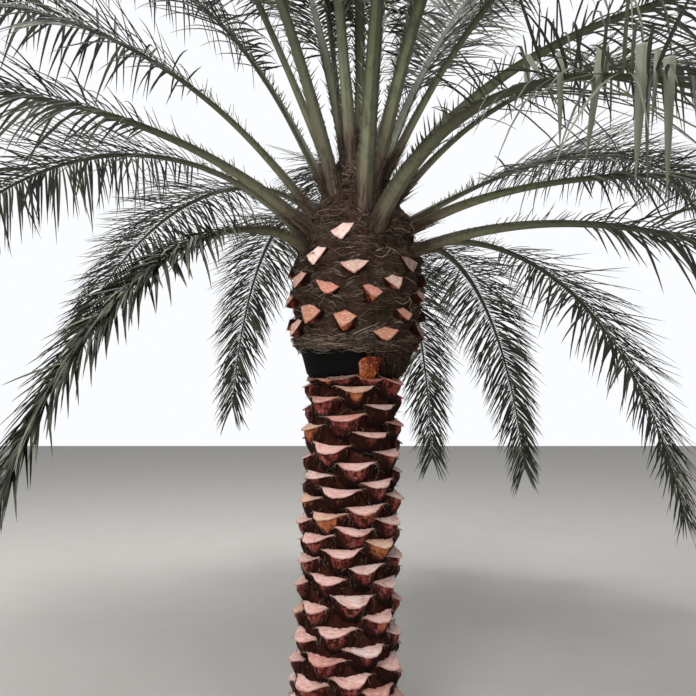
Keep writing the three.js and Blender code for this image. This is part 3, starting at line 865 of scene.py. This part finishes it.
def leafletsOf(plan, path, draws):
    count = leaflet["aSide"]
    step = np.arange(count)
    leftOut, narrowed = thinned.get(plan["index"], (0, 1))
    leaflets = []
    for side in (1, -1):
        jitter = draws.uniform(-leaflet["jitter"], leaflet["jitter"], count)
        v = np.clip((step + 0.25 + 0.5 * (side > 0) + jitter) / count, 0, 0.998)
        shares = between((rib["petiole"], 1), v)
        starts, directions, facing = leafletStarts(path, shares, v, side, draws)
        length = leaflet["longest"] * plan["length"] / crown["lengths"][0]
        length = length * np.minimum(1, leaflet["firstShare"] + leaflet["growth"] * v)
        length = length * (1 - leaflet["tipFall"] * v ** 2) * draws.uniform(*leaflet["lengths"], count)
        widths = leaflet["width"] * np.clip(leaflet["firstWidth"] + leaflet["widthGrowth"] * v, 0, 1)
        widths = widths * (1 - leaflet["widthFall"] * v)
        widths = widths * draws.uniform(*leaflet["widthsVary"], count) * narrowed
        bends = draws.uniform(*leaflet["bend"], count)
        hangs = draws.random(count) < hanging.get(plan["index"], 0)
        bends = np.where(hangs, draws.uniform(*hangingBend, count), bends)
        sections, tips = leafletSections(starts, directions, facing, length, widths, bends)
        sprays = (step // leaflet["spray"] * 2 + (side > 0)) % len(leafletColours)
        odd = draws.random(count) < leaflet["oddTints"]
        tints = np.where(odd, draws.integers(0, len(leafletColours), count), sprays)
        kept = draws.random(count) >= leftOut
        leaflets.append((sections[kept], tips[kept], tints[kept]))
    if plan["index"] in folded:
        sections, tips = foldedSections(path, folded[plan["index"]])
        leaflets.append((sections, tips, np.full(len(tips), ribbon["colour"])))
    return leaflets


def makeLeaflets(name, plans, paths, finishes):
    gathered = Gathering()
    for plan, path in zip(plans, paths):
        for sections, tips, tints in leafletsOf(plan, path, np.random.default_rng(500 + plan["index"])):
            gathered.addTubes(sections, tips, tints)
    return gathered.piece(name, finishes)


# Spines on the petiole's edges; ends are the lengths at its foot and at the first leaflets
spine = {
    "aSide": 32, "jitter": 0.9, "from": 0.075, "ends": (0.02, 0.11), "lengths": (0.3, 1.15),
    "width": 0.0055, "forward": 0.8, "outward": (0.25, 0.7), "raised": (0.2, 1), "spread": 0.12,
    "root": 0.44,
}


def makeSpines(plans, paths, finishes):
    gathered = Gathering()
    count = spine["aSide"]
    for plan, path in zip(plans, paths):
        draws = np.random.default_rng(900 + plan["index"])
        for side in (1, -1):
            jitter = draws.uniform(-spine["jitter"], spine["jitter"], count)
            v = np.clip((np.arange(count) + jitter) / count, 0, 1)
            shares = between((spine["from"], rib["petiole"]), v)
            place, forward, sideways, upper = ribAt(path, shares)
            sideways = sideways * side
            direction = forward * spine["forward"] + sideways * draws.uniform(*spine["outward"], (count, 1))
            direction = direction + upper * draws.uniform(*spine["raised"], (count, 1))
            direction = unit(direction + draws.normal(0, spine["spread"], (count, 3)))
            length = between(spine["ends"], v) * draws.uniform(*spine["lengths"], count)
            width = along(rib["width"], shares)[:, None] * plan["baseWidth"]
            starts = place + sideways * width * spine["root"]
            widths = np.full(count, spine["width"])
            sections, tips = leafletSections(starts, direction, upper, length, widths, np.zeros(count))
            gathered.addTubes(sections, tips, draws.integers(0, 2, count))
    return gathered.piece("frondSpines", finishes)


# Strands that lie on the trunk: fibre, rags of sheath and loose straws. Slope is in radians from the level,
# as a middle and a spread; swirl is the slope that neighbours share; waves has how often and how far one
# winds; section is the outline as shares of the thickness along the trunk and out of it. Finishes go from
# dark to light
thread = [(1, 0), (-0.5, 0.7), (-0.5, -0.7)]
flatThread = [(1, 0), (0, 0.14), (-1, 0), (0, -0.14)]
lying = {"azimuth": (-180, 180), "section": thread, "leastRadius": 0.06, "lowest": 0.02}
strandPieces = {
    "collarFibre": {
        "seed": 21, "strands": 4800, "from": 1.735, "to": 2.68, "length": (0.03, 0.12),
        "thickness": (0.0005, 0.0013), "slope": (0, 0.3), "stand": (-0.001, 0.008), "wander": 0.14,
        "swirl": 0.9, "waves": (0.6, 1.8, 0.0035), "finishes": ("dark", "dark", "brown", "grey"),
    },
    "collarRags": {
        "seed": 24, "strands": 1500, "from": 1.74, "to": 2.6, "length": (0.02, 0.07), "section": flatThread,
        "thickness": (0.0012, 0.0045), "slope": (0, 0.35), "stand": (-0.003, 0.006), "wander": 0.12,
        "swirl": 0.9, "waves": (0.4, 1.2, 0.003), "finishes": ("dark", "sheath", "brown", "grey"),
    },
    "rimFibre": {
        "seed": 23, "strands": 1300, "from": 1.712, "to": 1.765, "length": (0.03, 0.13),
        "thickness": (0.0005, 0.0015), "slope": (0, 0.14), "stand": (0.002, 0.018), "wander": 0.08,
        "swirl": 0.3, "waves": (0.4, 1.2, 0.003), "finishes": ("dark", "brown", "brown", "grey", "straw"),
    },
    "bandFibre": {
        "seed": 25, "strands": 620, "azimuth": (-76, 60), "from": 1.64, "to": 1.745, "length": (0.04, 0.11),
        "thickness": (0.0008, 0.002), "slope": (-1.0, 0.4), "stand": (0.003, 0.02), "wander": 0.14,
        "swirl": 0.4, "waves": (0.5, 1.5, 0.004), "finishes": ("dark", "dark", "sheath"),
    },
    "lowerFibre": {
        "seed": 26, "strands": 1500, "from": 0.06, "to": 1.6, "length": (0.03, 0.09),
        "thickness": (0.0005, 0.0012), "slope": (0, 0.6), "stand": (-0.004, 0.012), "wander": 0.2,
        "swirl": 0.4, "waves": (0.5, 1.5, 0.004), "finishes": ("maroon", "maroon", "maroon", "brown", "grey"),
    },
    "looseStraws": {
        "seed": 22, "strands": 60, "from": 1.76, "to": 2.3, "length": (0.03, 0.1),
        "thickness": (0.0008, 0.0018), "slope": (0, 0.9), "stand": (0.01, 0.028), "wander": 0.2,
        "swirl": 0.3, "waves": (0.3, 1.2, 0.004), "finishes": ("straw",),
    },
}
strandTaper = [0.5, 0.9, 1, 1, 0.9, 0.7, 0.35]
bristleTaper = [0.7, 1, 0.8, 0.35]
bristleDepth = 1.3
# How far apart neighbours still match, as a noise's scale, and how much of a strand's lightness they share
matting = {"scale": 15, "flat": 1.6, "lightness": 0.85, "loose": 0.16}


# A number from about -1 to 1 for each point, alike for neighbours
def shared(points, shift):
    scale = matting["scale"]
    return np.array([
        noise.noise(Vector((x * scale, y * scale, z * scale * matting["flat"] + shift)))
        for x, y, z in points])


def strandSections(sizes, starts, azimuth, height, draws):
    count = sizes["strands"]
    t = np.linspace(0, 1, len(strandTaper))
    length = draws.uniform(*sizes["length"], count)
    slope = draws.normal(*sizes["slope"], count) + sizes["swirl"] * shared(starts, 0)
    bendy = draws.normal(0, sizes["wander"], count)
    side = draws.choice([-1, 1], count)
    fewest, most, size = sizes["waves"]
    turns = draws.uniform(fewest, most, count)[:, None] * t + draws.random(count)[:, None]
    winding = size * np.sin(2 * math.pi * turns)
    radius = along(trunk["profile"], height)
    turn = np.degrees(length * np.cos(slope) / np.maximum(radius, sizes["leastRadius"])) * side
    azimuths = azimuth[:, None] + turn[:, None] * t
    heights = height[:, None] + (length * np.sin(slope) * side)[:, None] * t + winding
    heights = heights + (bendy * length)[:, None] * np.sin(t * math.pi)
    heights = np.clip(heights, sizes["lowest"], trunk["tip"])
    bare = trunkPoint(along(trunk["profile"], heights), azimuths, heights)
    lumps = np.array([relief(point) for point in bare.reshape(-1, 3)]).reshape(heights.shape)
    lift = draws.uniform(*sizes["stand"], count)[:, None] * (0.4 + 0.6 * np.sin(t * math.pi))
    middles = trunkPoint(along(trunk["profile"], heights) + lumps + lift, azimuths, heights)
    outward = awayFromAxis(middles)
    across = unit(np.cross(outward, unit(np.gradient(middles, axis=1))))
    thick = draws.uniform(*sizes["thickness"], count)[:, None, None] * np.array(strandTaper)[None, :, None]
    corners = [(across * flat + outward * raised) * thick for flat, raised in sizes["section"]]
    return np.stack([middles + corner for corner in corners], axis=2)


def makeStrands(name, sizes):
    draws = np.random.default_rng(sizes["seed"])
    count = sizes["strands"]
    azimuth = draws.uniform(*sizes["azimuth"], count)
    height = draws.uniform(sizes["from"], sizes["to"], count)
    starts = trunkPoint(along(trunk["profile"], height), azimuth, height)
    sections = strandSections(sizes, starts, azimuth, height, draws)
    lightness = 0.5 + matting["lightness"] * shared(starts, 7) + draws.normal(0, matting["loose"], count)
    kinds = len(sizes["finishes"])
    gathered = Gathering()
    gathered.addTubes(sections, finishes=np.clip((lightness * kinds).astype(int), 0, kinds - 1))
    return gathered.piece(name, fibresNamed(sizes["finishes"]))


# Bristles leave their foot freely, and sink by a share of their length
def bristleSections(starts, directions, lengths, thickness, sink):
    t = np.linspace(0, 1, len(bristleTaper))[None, :, None]
    reach = lengths[:, None, None]
    middles = starts[:, None] + directions[:, None] * reach * t - up * reach * sink * t ** 2
    forward = unit(np.gradient(middles, axis=1))
    across = unit(np.cross(forward, up + 0.01))
    other = np.cross(forward, across)
    thick = thickness[:, None, None] * np.array(bristleTaper)[None, :, None]
    corners = [(across * flat + other * raised * bristleDepth) * thick for flat, raised in thread]
    return np.stack([middles + corner for corner in corners], axis=2)


def bristlesOf(sizes, starts, directions, draws):
    thickness = draws.uniform(*sizes["thickness"], len(starts))
    lengths = draws.uniform(*sizes["length"], len(starts))
    return bristleSections(starts, unit(directions), lengths, thickness, sizes["sink"])


# Fine fibre that frays from the wings of the lower cut faces, and coarse fibre down the sides of the bodies,
# so that no two of them meet in a bare seam. Across and down are where they root
bristlePieces = {
    "wingHairs": {
        "seed": 51, "aSide": 9, "across": (0.75, 1), "overCut": 0.6, "length": (0.008, 0.034),
        "thickness": (0.0004, 0.001), "spread": 0.6, "sink": 0.2, "finishes": ("brown", "grey", "straw"),
    },
    "sideFibre": {
        "seed": 61, "aSide": 12, "across": (0.62, 1), "down": (0.04, 0.6), "length": (0.01, 0.034),
        "thickness": (0.0007, 0.002), "outward": 0.2, "aside": 0.35, "spread": 0.55, "sink": 0.1,
        "finishes": ("maroon", "maroon", "maroon", "brown"),
    },
}


# Where bristles root, and which way they lean
def wingRoots(sizes, place, u, side, draws):
    starts = facePoints(place, u, np.full(len(u), sizes["overCut"]), 0.001)
    aside = trunkPoint(np.full(len(u), 0.1), place["azimuth"] + 90 * side, starts[:, 2])
    return starts, awayFromAxis(aside)


def sideRoots(sizes, place, u, side, draws):
    starts = bodyPoints(place, u, draws.uniform(*sizes["down"], len(u)), 0.002)
    outward = awayFromAxis(starts)
    aside = np.cross(up, outward) * -side
    return starts, outward * sizes["outward"] + aside * sizes["aside"] - up


def makeBristles(name, places, rootsOf):
    sizes = bristlePieces[name]
    draws = np.random.default_rng(sizes["seed"])
    count, kinds = sizes["aSide"], len(sizes["finishes"])
    gathered = Gathering()
    for place in places:
        for side in (1, -1):
            u = side * draws.uniform(*sizes["across"], count)
            starts, leaning = rootsOf(sizes, place, u, side, draws)
            directions = leaning + draws.normal(0, sizes["spread"], (count, 3))
            sections = bristlesOf(sizes, starts, directions, draws)
            gathered.addTubes(sections, finishes=draws.integers(0, kinds, count))
    return gathered.piece(name, fibresNamed(sizes["finishes"]))


# The torn base on the band: a bulge with splinters, pale at its left, red at its top and orange below. Its
# splinters root within across and down, lean outward and sag
tornBase = {
    "azimuth": -75, "height": 1.684, "width": 0.09, "out": 0.042, "footDrop": 0.115, "slope": 0.3, "roll": 0,
    "wing": 0.0, "belly": (2.2, 0.8), "skew": 0,
}
torn = {
    "k": 0.5, "strands": 360, "across": 0.85, "down": 0.8, "downPower": 1.3, "length": (0.006, 0.02),
    "thickness": (0.0018, 0.0048), "outward": 0.6, "sag": 0.35, "spread": 0.45, "fall": 0.6,
    "curl": -0.034, "sink": 0.1, "paleUntil": -0.6, "redUntil": 0.26, "redTilt": 0.25, "blur": 0.12,
    "finishes": ("red", "torn", "pale"),
}


def makeTornBase():
    draws = np.random.default_rng(31)
    count = torn["strands"]
    place = baseAt({**collarBases, **tornBase}, tornBase["azimuth"], tornBase["height"], torn["k"])
    place["fall"], place["curl"] = torn["fall"], torn["curl"]
    u, w = baseGrid(1, base["belowFace"])
    points, groups = slab(bodyPoints(place, u, w), bodyPoints(place, u, w, base["shell"]))
    gathered = Gathering()
    gathered.add(points, groups, torn["finishes"].index("torn"))
    u = draws.uniform(-torn["across"], torn["across"], count)
    w = draws.uniform(0, torn["down"], count) ** torn["downPower"]
    starts = bodyPoints(place, u, w, 0.004)
    directions = awayFromAxis(starts) * torn["outward"] + draws.normal(0, torn["spread"], (count, 3))
    directions = directions - up * torn["sag"]
    sections = bristlesOf(torn, starts, directions, draws)
    blur = draws.normal(0, torn["blur"], count)
    red = w - u * torn["redTilt"] + blur < torn["redUntil"]
    gathered.addTubes(sections, finishes=np.where(u + blur < torn["paleUntil"], 2, np.where(red, 0, 1)))
    return gathered.piece("tornFibre", fibresNamed(torn["finishes"]))


# Hairs and strips of dry sheath along the petioles' feet
footHairs = {
    "aFrond": 110, "upTo": 0.035, "length": (0.03, 0.13), "thickness": (0.0005, 0.0015), "spread": 0.2,
    "uneven": 0.08, "sink": 0.12,
}
sheaths = {
    "aFrond": 6, "upTo": 0.02, "length": (0.05, 0.15), "width": (0.006, 0.016), "spread": 0.08,
    "uneven": 0.08, "bend": (0, 0.3),
}
footFinishes = ("dark", "dark", "sheath", "brown")


def aroundFoot(plan, path, sizes, draws):
    count = sizes["aFrond"]
    shares = draws.uniform(0, sizes["upTo"], count)
    angle = draws.uniform(0, 2 * math.pi, count)[:, None]
    width = along(rib["width"], shares)[:, None] * plan["baseWidth"] * 0.5
    depth = along(rib["depth"], shares)[:, None] * plan["baseWidth"] * 0.5
    place, forward, sideways, upper = ribAt(path, shares)
    away = sideways * np.cos(angle) + upper * np.sin(angle)
    starts = place + sideways * np.cos(angle) * width + upper * np.sin(angle) * depth
    directions = forward + away * draws.uniform(0, sizes["spread"], (count, 1))
    directions = unit(directions + draws.normal(0, sizes["uneven"], (count, 3)))
    return starts, directions, away, draws.uniform(*sizes["length"], count)


def makeFootFibre(plans, paths):
    hairs, strips = Gathering(), Gathering()
    draws = np.random.default_rng(41)
    kinds = len(footFinishes)
    for plan, path in zip(plans, paths):
        count = footHairs["aFrond"]
        starts, directions, away, lengths = aroundFoot(plan, path, footHairs, draws)
        thickness = draws.uniform(*footHairs["thickness"], count)
        sections = bristleSections(starts, directions, lengths, thickness, footHairs["sink"])
        hairs.addTubes(sections, finishes=draws.integers(0, kinds, count))
        count = sheaths["aFrond"]
        starts, directions, away, lengths = aroundFoot(plan, path, sheaths, draws)
        widths = draws.uniform(*sheaths["width"], count)
        bends = draws.uniform(*sheaths["bend"], count)
        sections, tips = leafletSections(starts, directions, away, lengths, widths, bends)
        strips.addTubes(sections, tips, draws.integers(0, kinds, count))
    finishes = fibresNamed(footFinishes)
    return hairs.piece("footHairs", finishes), strips.piece("sheathStrips", finishes)


# Studio: pale floor, soft sky, broad lights overhead and in front, and the camera where the photo's was
studio = {
    "camera": (0.022, -3.1, 1.5), "pitch": 4.25, "lens": 36.2, "sensor": 36, "floor": 40,
    "sky": (0.95, 0.97, 1.0), "skyPower": 0.5, "backdrop": (0.97, 0.98, 1.0), "lampsFace": (0, 0, 2),
    "lamps": [((-1.0, -1.0, 9.0), 6, 1000), ((-2.5, -7.0, 5.5), 3.5, 330)],
}


def floorFinish():
    pale = Finish("floor", Roughness=0.9)
    return pale.finish(Base_Color=pale.mix(pale.noise(3, detail=2), rgb(184, 180, 174), rgb(192, 189, 184)))


def makeFloor():
    deselectAll()
    bpy.ops.mesh.primitive_plane_add(size=studio["floor"], location=(0, 0, -0.001))
    floor = bpy.context.object
    floor.name = "floor"
    floor.data.materials.append(floorFinish())


# A soft sky that lights the tree, and a paler one behind it
def makeSky():
    world = bpy.data.worlds.new("sky")
    world.use_nodes = True
    tree = world.node_tree
    sky = tree.nodes["Background"]
    sky.inputs["Color"].default_value = (*studio["sky"], 1)
    sky.inputs["Strength"].default_value = studio["skyPower"]
    backdrop = tree.nodes.new("ShaderNodeBackground")
    backdrop.inputs["Color"].default_value = (*studio["backdrop"], 1)
    seen = tree.nodes.new("ShaderNodeLightPath")
    either = tree.nodes.new("ShaderNodeMixShader")
    tree.links.new(seen.outputs["Is Camera Ray"], either.inputs[0])
    tree.links.new(sky.outputs[0], either.inputs[1])
    tree.links.new(backdrop.outputs[0], either.inputs[2])
    tree.links.new(either.outputs[0], tree.nodes["World Output"].inputs["Surface"])
    scene.world = world


def makeLampsAndCamera():
    for place, size, power in studio["lamps"]:
        bpy.ops.object.light_add(type="AREA", location=place)
        lamp = bpy.context.object
        lamp.data.shape = "DISK"
        lamp.data.size = size
        lamp.data.energy = power
        towards = Vector(studio["lampsFace"]) - Vector(place)
        lamp.rotation_euler = towards.to_track_quat("-Z", "Y").to_euler()
    bpy.ops.object.camera_add(location=studio["camera"], rotation=(math.radians(90 + studio["pitch"]), 0, 0))
    camera = bpy.context.object
    camera.data.lens = studio["lens"]
    camera.data.sensor_width = studio["sensor"]
    scene.camera = camera
    scene.view_settings.view_transform = "Standard"


makeFloor()
makeSky()
makeLampsAndCamera()
print("studio ready")

plans = [frondPlan(index) for index in range(crown["places"]) if index != crown["trimmed"]]
paths = [frondPath(plan) for plan in plans]

trunkBark = makeTrunkCore(barkFinish())
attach(trunkBark, "root")
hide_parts("trunk")

cutFinishes = {name: cutFinish(f"cut_{name}", tint) for name, tint in faceColours.items()}
collarPlaces = spiralBases(collarBases)
collarPlaces.append(baseAt(collarBases, highestCut["azimuth"], highestCut["height"], highestCut["k"]))
# The band row's faces take the darker ember and dull colours as painted shade under the collar
bandPlaces = [{**place, "kind": "ember" if place["k"] % 3 else "dull"} for place in spiralBases(bandBases)]
places = spiralBases(lowerBases) + bandPlaces + [shaped(place) for place in collarPlaces]
freePlaces = [place for place in places if clearOfRibs(place)]
lowerPlaces = [place for place in places if place["height"] < band["from"]]
leafBases, cutFaces = makeLeafBases(freePlaces, leafBaseFinish(), cutFinishes)
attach(leafBases, "root")
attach(cutFaces, "root")

for name, sizes in strandPieces.items():
    strands = makeStrands(name, {**lying, **sizes})
    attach(strands, "root")
wingHairs = makeBristles("wingHairs", lowerPlaces, wingRoots)
sideFibre = makeBristles("sideFibre", lowerPlaces, sideRoots)
for made in (makeTornBase(), wingHairs, sideFibre, *makeFootFibre(plans, paths)):
    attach(made, "root")
print("trunk ready")


def nodeNames(plan, part):
    name = f"frond_{plan['index'] + 1:02d}"
    if plan["arch"] <= crown["splitOver"]:
        return [] if part == "inner" else [name]
    return [f"{name}_{part}"]


frondRibs = makeRibs(plans, paths, petioleFinish())
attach(frondRibs, "root")
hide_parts(*[name for plan in plans for name in nodeNames(plan, "inner")])

leafletFinishes = [leafletFinish(number, tint) for number, tint in enumerate(leafletColours)]
spines = makeSpines(plans, paths, leafletFinishes[2:4])
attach(spines, "root")

tiers = [("leafletsLow", 0, 10), ("leafletsMiddle", 10, 20), ("leafletsHigh", 20, 30)]
for name, first, last in tiers:
    chosen = [n for n, plan in enumerate(plans) if first <= plan["index"] < last]
    tierPlans = [plans[n] for n in chosen]
    leaflets = makeLeaflets(name, tierPlans, [paths[n] for n in chosen], leafletFinishes)
    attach(leaflets, "root")
    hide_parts(*[node for plan in tierPlans for node in nodeNames(plan, "outer")])
print("crown ready")
